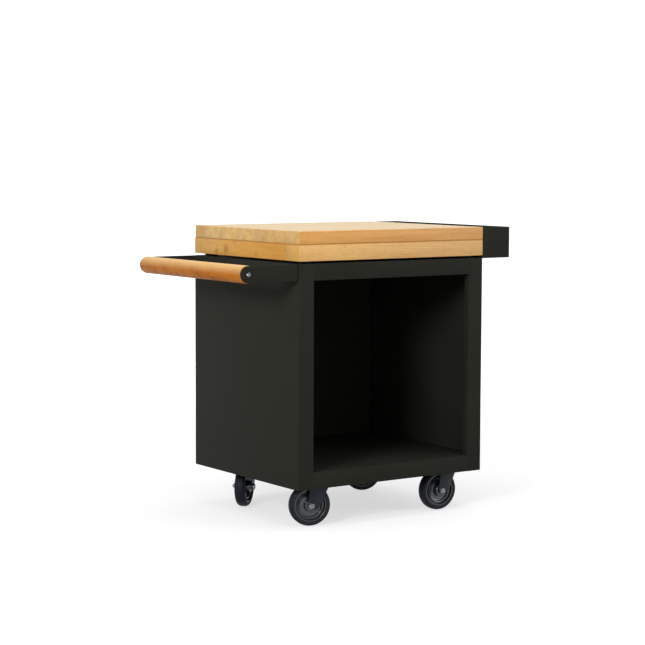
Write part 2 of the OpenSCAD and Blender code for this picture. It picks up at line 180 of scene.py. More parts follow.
class Shape:
    """A mesh piece on the bench, shaped by modelling operators."""

    def __init__(self, name: str) -> None:
        """Takes over the object that is active, and names it.

        Args:
            name: The name of the object and of its mesh.
        """
        self.piece = bpy.context.object
        self.piece.name = name
        self.piece.data.name = name
        bpy.ops.object.transform_apply(location=True, rotation=True, scale=True)

    @classmethod
    def block(cls, name: str, low: Vector, high: Vector) -> Shape:
        """Starts from a cube between two corners.

        Args:
            name: The piece's name.
            low: The corner with the least coordinates.
            high: The corner with the greatest coordinates.

        Returns:
            The shape.
        """
        deselect_all()
        bpy.ops.mesh.primitive_cube_add(size=1, location=(low + high) / 2, scale=high - low)
        return cls(name)

    @classmethod
    def sheet(cls, name: str, middle: Sequence[float], size: tuple[float, float], turn: Point) -> Shape:
        """Starts from a plane.

        Args:
            name: The piece's name.
            middle: Where the plane's middle goes.
            size: Its width and depth before the turn.
            turn: The Euler angles of its turn about its middle.

        Returns:
            The shape.
        """
        deselect_all()
        bpy.ops.mesh.primitive_plane_add(size=1, location=middle, rotation=turn)
        bpy.context.object.scale = (*size, 1)
        return cls(name)

    @classmethod
    def drum(cls, name: str, foot: Sequence[float], radius: float, height: float, sides: int = 48) -> Shape:
        """Starts from a cylinder that stands upright.

        Args:
            name: The piece's name.
            foot: The middle of its lower end.
            radius: Its radius.
            height: Its height.
            sides: Number of faces round it.

        Returns:
            The shape.
        """
        deselect_all()
        middle = Vector(foot) + Vector((0, 0, height / 2))
        bpy.ops.mesh.primitive_cylinder_add(vertices=sides, radius=radius, depth=height, location=middle)
        return cls(name)

    @classmethod
    def turned(cls, name: str, stations: Sequence[tuple[float, float, float]], steps: int = 96) -> Shape:
        """Turns a section about +Z, as on a lathe.

        Args:
            name: The piece's name.
            stations: Radius, lowest and highest height of the section, from the inside outwards.
            steps: Number of faces round the axis.

        Returns:
            The closed shape.
        """
        radius, low, high = stations[0]
        second = stations[1]
        middle = ((radius + second[0]) / 2, 0, (low + high) / 2)
        shape = cls.sheet(name, middle, (second[0] - radius, high - low), (QUARTER, 0, 0))
        with shape.editing():
            shape.pick(Part.EDGES, lambda p: near(p.x, second[0], SAME_POINT))
            shape.slide_edge((second[0], low, high), second)
            for before, after in zip(stations[1:], stations[2:]):
                shape.pull(x=after[0] - before[0])
                shape.slide_edge((after[0], *before[1:]), after)
            bpy.ops.mesh.select_all(action="SELECT")
            bpy.ops.mesh.dissolve_faces()
            bpy.ops.mesh.delete(type="ONLY_FACE")
            if radius == 0:
                shape.pick(Part.EDGES, lambda p: near(p.x, 0, SAME_POINT))
                bpy.ops.mesh.delete(type="EDGE")
            bpy.ops.mesh.select_all(action="SELECT")
            bpy.ops.mesh.spin(steps=steps, angle=math.tau, center=(0, 0, 0), axis=(0, 0, 1))
            bpy.ops.mesh.select_all(action="SELECT")
            bpy.ops.mesh.remove_doubles(threshold=SAME_POINT)
            bpy.ops.mesh.normals_make_consistent(inside=False)
        return shape

    def slide_edge(self, now: Point, wanted: Point) -> None:
        """Moves the picked upright edge of a section to the heights that are wanted.

        Args:
            now: The edge's radius, lowest and highest height.
            wanted: The same three as they should be.
        """
        rise = (wanted[1] + wanted[2] - now[1] - now[2]) / 2
        bpy.ops.transform.translate(value=(0, 0, rise))
        centre = (now[0], 0, (wanted[1] + wanted[2]) / 2)
        stretch = (wanted[2] - wanted[1]) / (now[2] - now[1])
        bpy.ops.transform.resize(value=(1, 1, stretch), center_override=centre)

    @contextmanager
    def editing(self) -> Iterator[None]:
        """Opens the piece in edit mode with nothing selected, and closes it again."""
        select_only(self.piece)
        bpy.ops.object.mode_set(mode="EDIT")
        bpy.ops.mesh.select_all(action="DESELECT")
        yield
        bpy.ops.object.mode_set(mode="OBJECT")

    def pick(self, part: Part, test: Test) -> None:
        """Selects the vertices, edges or faces whose points all pass a test of their place.

        Args:
            part: What is picked.
            test: The test of a point.
        """
        bpy.ops.mesh.select_mode(type=part.value)
        bpy.ops.mesh.select_all(action="DESELECT")
        mesh = bmesh.from_edit_mesh(self.piece.data)
        groups = {Part.VERTS: mesh.verts, Part.EDGES: mesh.edges, Part.FACES: mesh.faces}
        for item in groups[part]:
            points = [item.co] if part is Part.VERTS else [v.co for v in item.verts]
            if all(test(p) for p in points):
                item.select_set(True)
        mesh.select_flush_mode()
        bmesh.update_edit_mesh(self.piece.data)

    def pull(self, x: float = 0, y: float = 0, z: float = 0) -> None:
        """Extrudes what is picked by a distance."""
        bpy.ops.mesh.extrude_region_move(TRANSFORM_OT_translate={"value": (x, y, z)})

    def shift(self, x: float = 0, y: float = 0, z: float = 0) -> None:
        """Moves what is picked by a distance."""
        bpy.ops.transform.translate(value=(x, y, z))

    def round_picked(self, radius: float, segments: int, affect: str = "EDGES") -> None:
        """Bevels the picked edges or corners."""
        bpy.ops.mesh.bevel(offset=radius, segments=segments, affect=affect, clamp_overlap=True)

    def face_the_way(self, test: Test, way: Vector) -> None:
        """Turns a sheet's faces so that the one that passes a test looks the right way.

        Args:
            test: The test that all points of that face pass.
            way: The way it has to look.
        """
        with self.editing():
            bpy.ops.mesh.select_all(action="SELECT")
            bpy.ops.mesh.normals_make_consistent(inside=False)
            self.pick(Part.FACES, test)
            mesh = bmesh.from_edit_mesh(self.piece.data)
            wrong = any(f.select and f.normal.dot(way) < 0 for f in mesh.faces)
            if wrong:
                bpy.ops.mesh.select_all(action="SELECT")
                bpy.ops.mesh.flip_normals()

    def modify(self, kind: str, **settings: object) -> None:
        """Adds a modifier and applies it.

        Args:
            kind: The modifier's type.
            settings: The modifier's own properties.
        """
        select_only(self.piece)
        modifier = self.piece.modifiers.new(kind.title(), kind)
        for key, value in settings.items():
            setattr(modifier, key, value)
        bpy.ops.object.modifier_apply(modifier=modifier.name)

    def thicken(self, thickness: float) -> None:
        """Gives a sheet its thickness, away from the side that it shows."""
        self.modify("SOLIDIFY", thickness=thickness, offset=-1, use_even_offset=True)

    def soften(self, radius: float, segments: int = 2, from_deg: float = 50) -> None:
        """Breaks every edge that is sharper than an angle.

        Args:
            radius: How far the bevel reaches from the edge.
            segments: Number of faces across it.
            from_deg: The least angle that is broken.
        """
        self.modify(
            "BEVEL", width=radius, segments=segments, limit_method="ANGLE",
            angle_limit=math.radians(from_deg), harden_normals=False, use_clamp_overlap=True,
        )

    def smooth(self, angle_deg: float = 32) -> Object:
        """Shades the piece smooth up to an angle.

        Args:
            angle_deg: The greatest angle that looks smooth.

        Returns:
            The piece.
        """
        select_only(self.piece)
        bpy.ops.object.shade_smooth_by_angle(angle=math.radians(angle_deg))
        return self.piece

    def cut(self, tool: Shape) -> None:
        """Cuts another closed shape out of this one, and removes that shape."""
        self.modify("BOOLEAN", object=tool.piece, operation="DIFFERENCE", solver="EXACT")
        discard(tool.piece)

    def join(self, others: Sequence[Object]) -> None:
        """Joins other meshes into this piece.

        Args:
            others: The meshes, which are gone afterwards.
        """
        select_only(self.piece)
        for other in others:
            other.select_set(True)
        bpy.ops.object.join()


def discard(piece: Object) -> None:
    """Removes an object that was only a tool or a pattern."""
    select_only(piece)
    bpy.ops.object.delete()


def copy_to(master: Object, name: str, place: Matrix) -> Object:
    """Copies a finished shape, with a mesh of its own that holds its place.

    Args:
        master: The shape to copy, at the origin.
        name: The copy's name.
        place: Where the copy goes.

    Returns:
        The copy.
    """
    select_only(master)
    bpy.ops.object.duplicate(linked=False)
    made = bpy.context.object
    made.name = name
    made.data.name = name
    made.matrix_world = place
    bpy.ops.object.transform_apply(location=True, rotation=True, scale=True)
    return made


# Finishes


class Grain(Enum):
    """The way that a board's grain runs, as the turn about +Z that its pattern takes."""

    ALONG_X = 0.0
    ALONG_Y = QUARTER


@dataclass(frozen=True)
class Knot:
    """A knot or a dark blotch in a board: its place and radius in millimetres, and its darkness."""

    place: Point
    radius: float
    darkness: float


@dataclass(frozen=True)
class Finish:
    """What every finish has: a name, and a way to build its material from shader nodes."""

    name: str

    def build(self) -> Material:
        """Makes the material.

        Returns:
            The material, named after the finish.
        """
        material = bpy.data.materials.new(self.name)
        material.use_nodes = True
        tree = material.node_tree
        tree.nodes.clear()
        shader = self.shader(tree)
        add_node(tree, "ShaderNodeOutputMaterial", None, {"Surface": shader.outputs[0]})
        return material

    def shader(self, tree: NodeTree) -> Node:
        """Adds the nodes up to the shader. Each finish has its own."""
        raise NotImplementedError


@dataclass(frozen=True)
class Rubberwood(Finish):
    """Oiled rubberwood, planed and sanded.

    It is straw to honey coloured, with fine darker growth rings that show as arcs on the end
    grain and as lines along the board, and with short pores. The oil leaves it satin.
    """

    grain: Grain
    # A point on the tree's centre line, in millimetres
    pith: Point
    # A ring's light and dark wood, along the board and on its ends
    early: str = "#dba968"
    late: str = "#c38743"
    end_early: str = "#d8b572"
    end_late: str = "#a9793c"
    pore: str = "#8f6233"
    knot: str = "#ac6d10"
    # A painted pale sheen on faces that look up, in place of top light and the sky's reflection: its colour,
    # its share on a level face and the least upward slope that it touches
    painted_top_sheen: str = "#c6b28c"
    painted_top_sheen_share: float = 0.7
    painted_top_sheen_from: float = 0.25
    # How dark the painted shade along the layers' joint gets
    joint_painted_shade: float = 0.9
    # The rings' width, how much wider they run than high, and how far the grain runs askew
    ring_mm: float = 6.5
    wide: float = 1.8
    tilt_deg: float = 0.8
    # How strong the rings are along the board and on its ends, and the patches with their size
    lines: float = 0.5
    end_lines: float = 0.9
    patch: float = 0.45
    patch_mm: tuple[float, float] = (420.0, 38.0)
    knots: tuple[Knot, ...] = ()
    coat: float = 0.0
    roughness: float = 0.46
    shine: float = 0.5

    def shader(self, tree: NodeTree) -> Node:
        """Paints rings round the tree's centre, patches, pores and knots, painted shade along the layers'
        joint and a painted pale sheen on faces that look up.

        Args:
            tree: The material's node tree.

        Returns:
            The shader.
        """
        coord = add_node(tree, "ShaderNodeTexCoord")
        tilt = math.radians(self.tilt_deg)
        here = add_node(tree, "ShaderNodeMapping", {"vector_type": "TEXTURE"}, {
            "Vector": coord.outputs["Object"],
            "Location": tuple(v * MM for v in self.pith),
            "Rotation": (0.0, tilt, self.grain.value + tilt),
        }).outputs[0]
        # Repeats along and across the grain in millimetres. Pores are a third of a millimetre
        # wide, and are drawn four times as wide to show.
        noises = {}
        for name, along, across, detail in (
            ("sway", 900, 90, 2.0),
            ("fade", 240, 21, 3.0),
            ("patches", *self.patch_mm, 4.0),
            ("pores", 26, 1.4, 3.0),
        ):
            spread = add_node(tree, "ShaderNodeVectorMath", {"operation": "MULTIPLY"}, {
                0: here, 1: (per_metre(along), per_metre(across), per_metre(across)),
            }).outputs[0]
            noises[name] = add_node(tree, "ShaderNodeTexNoise", None, {
                "Vector": spread, "Scale": 1.0, "Detail": detail, "Roughness": 0.6,
            }).outputs
        # The rings' centre wanders slowly and their spacing wavers, by sizes in millimetres
        swayed = here
        for name, reach in (("sway", (0, 22, 16)), ("fade", (0, 7, 7))):
            centred = add_node(tree, "ShaderNodeVectorMath", {"operation": "SUBTRACT"}, {
                0: noises[name]["Color"], 1: (0.5, 0.5, 0.5),
            }).outputs[0]
            swayed = add_node(tree, "ShaderNodeVectorMath", {"operation": "MULTIPLY_ADD"}, {
                0: centred, 1: tuple(v * MM for v in reach), 2: swayed,
            }).outputs[0]
        knot_mask, knot_warp = self.knot_masks(tree, coord)
        # Rings change 25 times more slowly along the board than through it
        flat = add_node(tree, "ShaderNodeVectorMath", {"operation": "MULTIPLY"}, {
            0: swayed, 1: (0.04, 1 / self.wide, 1.0),
        }).outputs[0]
        # A wave of scale 1 has a ring every pi / 10 of a unit
        rings = add_node(tree, "ShaderNodeTexWave", {
            "wave_type": "RINGS", "rings_direction": "X", "wave_profile": "SAW",
        }, {
            "Vector": flat, "Scale": math.pi / 10 * per_metre(self.ring_mm), "Distortion": 2.4,
            "Detail": 3.0, "Detail Scale": 0.5, "Phase Offset": knot_warp,
        }).outputs["Fac"]
        ring_tone = add_node(tree, "ShaderNodeValToRGB", None, {"Fac": rings}, (
            (0.0, "#000000"), (0.45, "#3a3a3a"), (0.86, "#ffffff"), (1.0, "#404040"),
        )).outputs["Color"]
        along = add_node(tree, "ShaderNodeVectorMath", {"operation": "DOT_PRODUCT"}, {
            0: coord.outputs["Normal"],
            1: (math.cos(self.grain.value), math.sin(self.grain.value), 0.0),
        }).outputs["Value"]
        squared = add_node(tree, "ShaderNodeMath", {"operation": "MULTIPLY"}, {0: along, 1: along}).outputs[0]
        upward, level = (
            add_node(tree, "ShaderNodeSeparateXYZ", None, {0: coord.outputs[name]}).outputs["Z"]
            for name in ("Normal", "Object")
        )
        # Painted shade darkens the wood along the joint between the block's two layers
        above = add_node(tree, "ShaderNodeMath", {"operation": "SUBTRACT"}, {
            0: level, 1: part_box("stave_1")[0].z,
        }).outputs[0]
        off_joint = add_node(tree, "ShaderNodeMath", {"operation": "ABSOLUTE"}, {0: above}).outputs[0]
        # What each mask reads, the range it reads, and what it gives over that range
        low, high = self.roughness - 0.07, self.roughness + 0.1
        end_mask, contrast, kept, patch_share, pore_share, rough, painted_top_sheen_mask, joint_shade_mask = (
            add_node(tree, "ShaderNodeMapRange", None, {
                "Value": value, "From Min": start, "From Max": end, "To Min": least, "To Max": most,
            }).outputs[0]
            for value, start, end, least, most in (
                (squared, 0.35, 0.75, 0.0, 1.0),
                (squared, 0.35, 0.75, self.lines, self.end_lines),
                (noises["fade"]["Fac"], 0.38, 0.62, 0.15, 1.0),
                (noises["patches"]["Fac"], 0.38, 0.72, 0.0, self.patch),
                (noises["pores"]["Fac"], 0.50, 0.72, 0.0, 0.34),
                (noises["patches"]["Fac"], 0.0, 1.0, low, high),
                # Painted sheen, growing as the face turns up
                (upward, self.painted_top_sheen_from, 1.0, 0.0, self.painted_top_sheen_share),
                # Painted shade: full at the joint, gone 3.4 mm from it
                (off_joint, 3.4 * MM, 0.8 * MM, 0.0, self.joint_painted_shade),
            )
        )
        ring_share = ring_tone
        for factor in (contrast, kept):
            ring_share = add_node(tree, "ShaderNodeMath", {"operation": "MULTIPLY"}, {
                0: ring_share, 1: factor,
            }).outputs[0]
        light, dark = (
            add_node(tree, "ShaderNodeMix", {"data_type": "RGBA"}, {
                0: end_mask, MIX_A: linear(side), MIX_B: linear(end),
            }).outputs[MIX_OUT]
            for side, end in ((self.early, self.end_early), (self.late, self.end_late))
        )
        colour = light
        for share, over in (
            (ring_share, dark),
            (patch_share, dark),
            (pore_share, linear(self.pore)),
            *([(knot_mask, linear(self.knot))] if self.knots else []),
            # The painted shade along the layers' joint, in the knots' colour
            (joint_shade_mask, linear(self.knot)),
            # The painted pale sheen on faces that look up
            (painted_top_sheen_mask, linear(self.painted_top_sheen)),
        ):
            colour = add_node(tree, "ShaderNodeMix", {"data_type": "RGBA"}, {
                0: share, MIX_A: colour, MIX_B: over,
            }).outputs[MIX_OUT]
        height = add_node(tree, "ShaderNodeMath", {"operation": "MULTIPLY_ADD"}, {
            0: pore_share, 1: -2.0, 2: ring_share,
        }).outputs[0]
        bump = add_node(tree, "ShaderNodeBump", None, {
            "Height": height, "Strength": 0.35, "Distance": 0.25 * MM,
        }).outputs[0]
        return add_node(tree, "ShaderNodeBsdfPrincipled", None, {
            "Base Color": colour, "Roughness": rough, "Normal": bump, "IOR": 1.46,
            "Specular IOR Level": self.shine, "Coat Weight": self.coat, "Coat Roughness": 0.2,
        })

    def knot_masks(
        self, tree: NodeTree, coord: Node
    ) -> tuple[NodeSocket | float, NodeSocket | float]:
        """Adds the nodes that darken the knots and bend the rings round them.

        Args:
            tree: The material's node tree.
            coord: Its texture coordinates.

        Returns:
            The knots' mask and the rings' phase, which are 0 without knots.
        """
        mask: NodeSocket | float = 0.0
        warp: NodeSocket | float = 0.0
        for knot in self.knots:
            radius = knot.radius * MM
            away = add_node(tree, "ShaderNodeVectorMath", {"operation": "SUBTRACT"}, {
                0: coord.outputs["Object"], 1: tuple(v * MM for v in knot.place),
            }).outputs[0]
            ragged = add_node(tree, "ShaderNodeTexNoise", None, {
                "Vector": coord.outputs["Object"], "Scale": per_metre(knot.radius * 0.9), "Detail": 3.0,
            }).outputs["Fac"]
            length = add_node(tree, "ShaderNodeVectorMath", {"operation": "LENGTH"}, {
                0: away,
            }).outputs["Value"]
            uneven = add_node(tree, "ShaderNodeMath", {"operation": "MULTIPLY_ADD"}, {
                0: ragged, 1: 0.9 * radius, 2: length,
            }).outputs[0]
            dark = add_node(tree, "ShaderNodeMapRange", {"interpolation_type": "SMOOTHSTEP"}, {
                "Value": uneven, "From Min": 1.7 * radius, "From Max": 0.5 * radius, "To Max": knot.darkness,
            }).outputs[0]
            # The rings bend out to five radii from the knot
            bend = add_node(tree, "ShaderNodeMapRange", {"interpolation_type": "SMOOTHSTEP"}, {
                "Value": length, "From Min": 5 * radius, "From Max": 0.0, "To Max": 7.0,
            }).outputs[0]
            mask = add_node(tree, "ShaderNodeMath", {"operation": "MAXIMUM"}, {0: mask, 1: dark}).outputs[0]
            warp = add_node(tree, "ShaderNodeMath", {"operation": "ADD"}, {0: warp, 1: bend}).outputs[0]
        return mask, warp


@dataclass(frozen=True)
class CoatedSteel(Finish):
    """Steel under a coat of paint or powder, from matt to satin.

    The coat flows into a faint orange-peel skin, so highlights are broad and slightly broken,
    and its tone clouds a little from place to place.
    """

    colour: str
    cloud: str
    roughness: float = 0.5
    shine: float = 0.03
    peel_mm: float = 1.6
    peel: float = 0.10

    def shader(self, tree: NodeTree) -> Node:
        """Clouds the coat's tone and gloss, and gives it its orange peel.

        Args:
            tree: The material's node tree.

        Returns:
            The shader.
        """
        place = add_node(tree, "ShaderNodeTexCoord").outputs["Object"]
        clouds = add_node(tree, "ShaderNodeTexNoise", None, {
            "Vector": place, "Scale": per_metre(190), "Detail": 5.0, "Roughness": 0.55,
        }).outputs["Fac"]
        tone = add_node(tree, "ShaderNodeValToRGB", None, {"Fac": clouds}, (
            (0.36, self.colour), (0.68, self.cloud),
        )).outputs["Color"]
        # Orange peel has a wave of about a millimetre, drawn a little coarser to show
        peel = add_node(tree, "ShaderNodeTexNoise", None, {
            "Vector": place, "Scale": per_metre(self.peel_mm), "Detail": 2.0,
        }).outputs["Fac"]
        bump = add_node(tree, "ShaderNodeBump", None, {
            "Height": peel, "Strength": self.peel, "Distance": 0.12 * MM,
        }).outputs[0]
        rough = add_node(tree, "ShaderNodeMapRange", None, {
            "Value": clouds, "From Min": 0.3, "From Max": 0.7,
            "To Min": self.roughness - 0.06, "To Max": self.roughness + 0.07,
        }).outputs[0]
        return add_node(tree, "ShaderNodeBsdfPrincipled", None, {
            "Base Color": tone, "Roughness": rough, "Normal": bump, "IOR": 1.45,
            "Specular IOR Level": self.shine,
        })


@dataclass(frozen=True)
class ZincPlate(Finish):
    """Steel fasteners in bright zinc plate, which is silvery with a faint blue cast and fine spangle."""

    name: str = "zinc_plated_steel"
    bright: str = "#979ea3"
    dull: str = "#3a4147"

    def shader(self, tree: NodeTree) -> Node:
        """Spangles the metal's tone, gloss and skin.

        Args:
            tree: The material's node tree.

        Returns:
            The shader.
        """
        place = add_node(tree, "ShaderNodeTexCoord").outputs["Object"]
        spangle = add_node(tree, "ShaderNodeTexNoise", None, {
            "Vector": place, "Scale": per_metre(2.5), "Detail": 4.0,
        }).outputs["Fac"]
        tone = add_node(tree, "ShaderNodeValToRGB", None, {"Fac": spangle}, (
            (0.44, self.dull), (0.6, self.bright),
        )).outputs["Color"]
        rough = add_node(tree, "ShaderNodeMapRange", None, {
            "Value": spangle, "To Min": 0.18, "To Max": 0.36,
        }).outputs[0]
        bump = add_node(tree, "ShaderNodeBump", None, {
            "Height": spangle, "Strength": 0.15, "Distance": 0.05 * MM,
        }).outputs[0]
        return add_node(tree, "ShaderNodeBsdfPrincipled", None, {
            "Base Color": tone, "Roughness": rough, "Normal": bump, "Metallic": 1.0,
        })


@dataclass(frozen=True)
class MouldedPlastic(Finish):
    """Moulded polymer, from hard glossy nylon to matt rubber.

    Nylon comes glossy from its polished mould with slight flow marks. Rubber is matt. Dust from
    the ground greys it a little. The faces that look along the axle take a lighter side colour,
    which is partly dust and partly painted light that keeps the tread darker than the sides.
    """

    colour: str
    dust: str
    roughness: float
    grain_mm: float
    bump: float
    shine: float = 0.25
    # The colour of the faces that look along the axle: partly dust, partly painted light
    side: str = "#33302f"
    axle: Point = (0.0, 0.0, 0.0)

    def shader(self, tree: NodeTree) -> Node:
        """Smears dust over the plastic, gives the faces along the axle their side colour of dust and painted
        light, and gives it its fine grain.

        Args:
            tree: The material's node tree.

        Returns:
            The shader.
        """
        coord = add_node(tree, "ShaderNodeTexCoord").outputs
        place = coord["Object"]
        smears = add_node(tree, "ShaderNodeTexNoise", None, {
            "Vector": place, "Scale": per_metre(24), "Detail": 6.0, "Roughness": 0.6,
        }).outputs["Fac"]
        tone = add_node(tree, "ShaderNodeValToRGB", None, {"Fac": smears}, (
            (0.42, self.colour), (0.74, self.dust),
        )).outputs["Color"]
        along = add_node(tree, "ShaderNodeVectorMath", {"operation": "DOT_PRODUCT"}, {
            0: coord["Normal"], 1: self.axle,
        }).outputs["Value"]
        squared = add_node(tree, "ShaderNodeMath", {"operation": "MULTIPLY"}, {0: along, 1: along}).outputs[0]
        # Faces along the axle get the side colour, partly dust and partly painted light; the tread stays
        # darker
        side_dust_and_light_mask = add_node(tree, "ShaderNodeMapRange", None, {
            "Value": squared, "From Min": 0.80, "From Max": 0.97, "To Max": 0.9,
        }).outputs[0]
        tone = add_node(tree, "ShaderNodeMix", {"data_type": "RGBA"}, {
            0: side_dust_and_light_mask, MIX_A: tone, MIX_B: linear(self.side),
        }).outputs[MIX_OUT]
        grain = add_node(tree, "ShaderNodeTexNoise", None, {
            "Vector": place, "Scale": per_metre(self.grain_mm), "Detail": 3.0,
        }).outputs["Fac"]
        bump = add_node(tree, "ShaderNodeBump", None, {
            "Height": grain, "Strength": self.bump, "Distance": 0.1 * MM,
        }).outputs[0]
        rough = add_node(tree, "ShaderNodeMapRange", None, {
            "Value": smears, "From Min": 0.3, "From Max": 0.7,
            "To Min": self.roughness, "To Max": self.roughness + 0.12,
        }).outputs[0]
        return add_node(tree, "ShaderNodeBsdfPrincipled", None, {
            "Base Color": tone, "Roughness": rough, "Normal": bump, "IOR": 1.5,
            "Specular IOR Level": self.shine,
        })


@dataclass(frozen=True)
class StudioFloor(Finish):
    """Plain pale matt floor. It looks white, blends into the backdrop and keeps the soft shadow."""

    name: str = "studio_floor"
    colour: str = "#a6a6a6"
    lift: float = 0.62
    blend_from: float = 1.2
    blend_to: float = 3.0

    def shader(self, tree: NodeTree) -> Node:
        """Lights the floor up for the camera, and more so further out.

        Args:
            tree: The material's node tree.

        Returns:
            The shader.
        """
        place = add_node(tree, "ShaderNodeTexCoord").outputs["Object"]
        away = add_node(tree, "ShaderNodeVectorMath", {"operation": "LENGTH"}, {0: place}).outputs["Value"]
        glow = add_node(tree, "ShaderNodeMapRange", {"interpolation_type": "SMOOTHSTEP"}, {
            "Value": away, "From Min": self.blend_from, "From Max": self.blend_to,
            "To Min": self.lift, "To Max": 1.0,
        }).outputs[0]
        strength = add_node(tree, "ShaderNodeMath", {"operation": "MULTIPLY"}, {
            0: plain_rays(tree), 1: glow,
        }).outputs[0]
        return add_node(tree, "ShaderNodeBsdfPrincipled", None, {
            "Base Color": linear(self.colour), "Roughness": 0.9,
            "Emission Color": (1.0, 1.0, 1.0, 1.0), "Emission Strength": strength,
        })


def dress(piece: Object, material: Material) -> None:
    """Gives a piece one material all over."""
    piece.data.materials.clear()
    piece.data.materials.append(material)


def dress_nodes(material: Material, *nodes: str) -> None:
    """Gives nodes of the frame, which stay as they are, one material."""
    for node in nodes:
        dress(frame["nodes"][node], material)


def fit_piece(
    piece: Object, body: str, slot: str, material: Material, *nodes: str
) -> None:
    """Finishes a piece.

    Args:
        piece: The piece.
        body: The body that it rides on.
        slot: Not used.
        material: Its material.
        nodes: The nodes of the frame that it stands for.
    """
    dress(piece, material)
    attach(piece, body)
    if nodes:
        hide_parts(*nodes)
    LOG.info("%s on %s, %d faces", piece.name, body, len(piece.data.polygons))


def fit_folded(
    shape: Shape, thickness: float, edge_r: float, coat: Material, node: str, segments: int = 2
) -> None:
    """Finishes a folded sheet of the cabinet's steel: its thickness, its broken edges and its look.

    Args:
        shape: The folded sheet, with the faces that it shows.
        thickness: The sheet's thickness.
        edge_r: The radius of its broken edges.
        coat: The steel's material.
        node: The node of the frame that it stands for.
        segments: Number of faces across each broken edge.
    """
    shape.thicken(thickness)
    shape.soften(edge_r, segments, 60)
    fit_piece(shape.smooth(), "root", "cabinet_steel", coat, node)


# Sub-assemblies


@dataclass
class Cabinet:
    """The folded steel cabinet, open at the front."""

    sheet: float = 2 * MM
    fold_r: float = 2.6 * MM
    fold_segments: int = 4
    stile_w: float = 53 * MM
    return_d: float = 22 * MM
    back_flange: float = 25 * MM
    weld_lap: float = 4 * MM
    weld_stand: float = 0.03 * MM
    rail_h: float = 50 * MM
    edge_r: float = 0.35 * MM
    back_cuts: int = 15
    # Shares of the back sheet's width and height, and how much deeper it lies inside each
    dishing: tuple[tuple[float, float], ...] = ((0.7, 0.25 * MM), (0.4, 0.3 * MM))
    steel: CoatedSteel = CoatedSteel("powder_coated_steel", "#252520", "#292924")

    def build(self) -> Material:
        """Builds the panels and dresses the steel nodes that stay.

        Returns:
            The steel's material, which the handle and the trough share.
        """
        coat = self.steel.build()
        self.side("left", 1, coat)
        self.side("right", -1, coat)
        self.deck("top_panel", self.return_d, coat)
        self.deck("floor_pan", self.sheet, coat)
        self.back(coat)
        dress_nodes(coat, "front_caster_bearer", "rear_caster_bearer")
        return coat

    def side(self, hand: str, sign: int, coat: Material) -> None:
        """Folds a side panel with its front stile, return and back flange.

        Args:
            hand: Left or right.
            sign: 1 where the panel's folds point to +X, and -1 where they point to -X.
            coat: The steel's material.
        """
        node = f"{hand}_side_panel"
        low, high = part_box(node)
        outer = low.x if sign > 0 else high.x
        middle = (outer, (low.y + high.y) / 2, (low.z + high.z) / 2)
        turn = (QUARTER, 0, QUARTER)
        shape = Shape.sheet(f"{hand}_side", middle, (high.y - low.y, high.z - low.z), turn)
        with shape.editing():
            shape.pick(Part.EDGES, lambda p: near(p.y, high.y))
            shape.pull(x=sign * self.back_flange)
            shape.pick(Part.EDGES, lambda p: near(p.y, low.y))
            shape.pull(x=sign * self.stile_w)
            shape.pull(y=self.return_d)
            folds = [(outer, low.y), (outer, high.y), (outer + sign * self.stile_w, low.y)]
            shape.pick(Part.EDGES, lambda p: any(near(p.x, x) and near(p.y, y) for x, y in folds))
            shape.round_picked(self.fold_r, self.fold_segments)
        shape.face_the_way(lambda p: near(p.x, outer), Vector((-sign, 0, 0)))
        fit_folded(shape, self.sheet, self.edge_r, coat, node)

    def deck(self, node: str, lip: float, coat: Material) -> None:
        """Folds the top or the floor, with its rail down in front and a lip along the rail's foot.

        Args:
            node: The sheet's node.
            lip: How far the lip reaches back.
            coat: The steel's material.
        """
        low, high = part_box(node)
        foot = high.z - self.rail_h
        # The rail's ends are welded to the stiles and ground flush, so no seam shows
        rail_x = self.stile_w - self.weld_lap - self.sheet
        left, right = low.x + rail_x, high.x - rail_x
        front = low.y - self.weld_stand
        middle = ((left + right) / 2, front, high.z - self.rail_h / 2)
        shape = Shape.sheet(f"{node}_folded", middle, (right - left, self.rail_h), (QUARTER, 0, 0))
        with shape.editing():
            shape.pick(Part.EDGES, lambda p: near(p.z, foot))
            shape.pull(y=lip)
            shape.pick(Part.EDGES, lambda p: near(p.z, high.z))
            shape.pull(y=self.return_d)
            shape.pull(y=high.y - front - self.return_d)
            for side, reach in ((left, -rail_x), (right, rail_x)):
                shape.pick(Part.EDGES, lambda p: near(p.x, side) and p.y > low.y + self.return_d - MM)
                shape.pull(x=reach)
            shape.pick(Part.EDGES, lambda p: near(p.y, front) and (near(p.z, high.z) or near(p.z, foot)))
            # The fold has to end before a short lip does
            shape.round_picked(min(self.fold_r, 0.8 * lip), self.fold_segments)
        inside = low.y + self.return_d / 2
        shape.face_the_way(lambda p: near(p.z, high.z) and p.y > inside, Vector((0, 0, 1)))
        fit_folded(shape, self.sheet, self.edge_r, coat, node)

    def back(self, coat: Material) -> None:
        """Makes the back panel, which dishes inwards a little between its welded edges.

        Args:
            coat: The steel's material.
        """
        low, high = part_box("back_panel")
        middle = ((low.x + high.x) / 2, high.y, (low.z + high.z) / 2)
        size = (high.x - low.x, high.z - low.z)
        shape = Shape.sheet("back_panel_dished", middle, size, (QUARTER, 0, math.pi))
        with shape.editing():
            bpy.ops.mesh.select_all(action="SELECT")
            bpy.ops.mesh.subdivide(number_cuts=self.back_cuts)
            for share, dish in self.dishing:
                half_x, half_z = (share * length / 2 for length in size)
                shape.pick(
                    Part.VERTS, lambda p: abs(p.x - middle[0]) < half_x and abs(p.z - middle[2]) < half_z,
                )
                shape.shift(y=-dish)
        shape.face_the_way(lambda p: near(p.y, high.y), Vector((0, 1, 0)))
        fit_folded(shape, high.y - low.y, self.edge_r, coat, "back_panel")


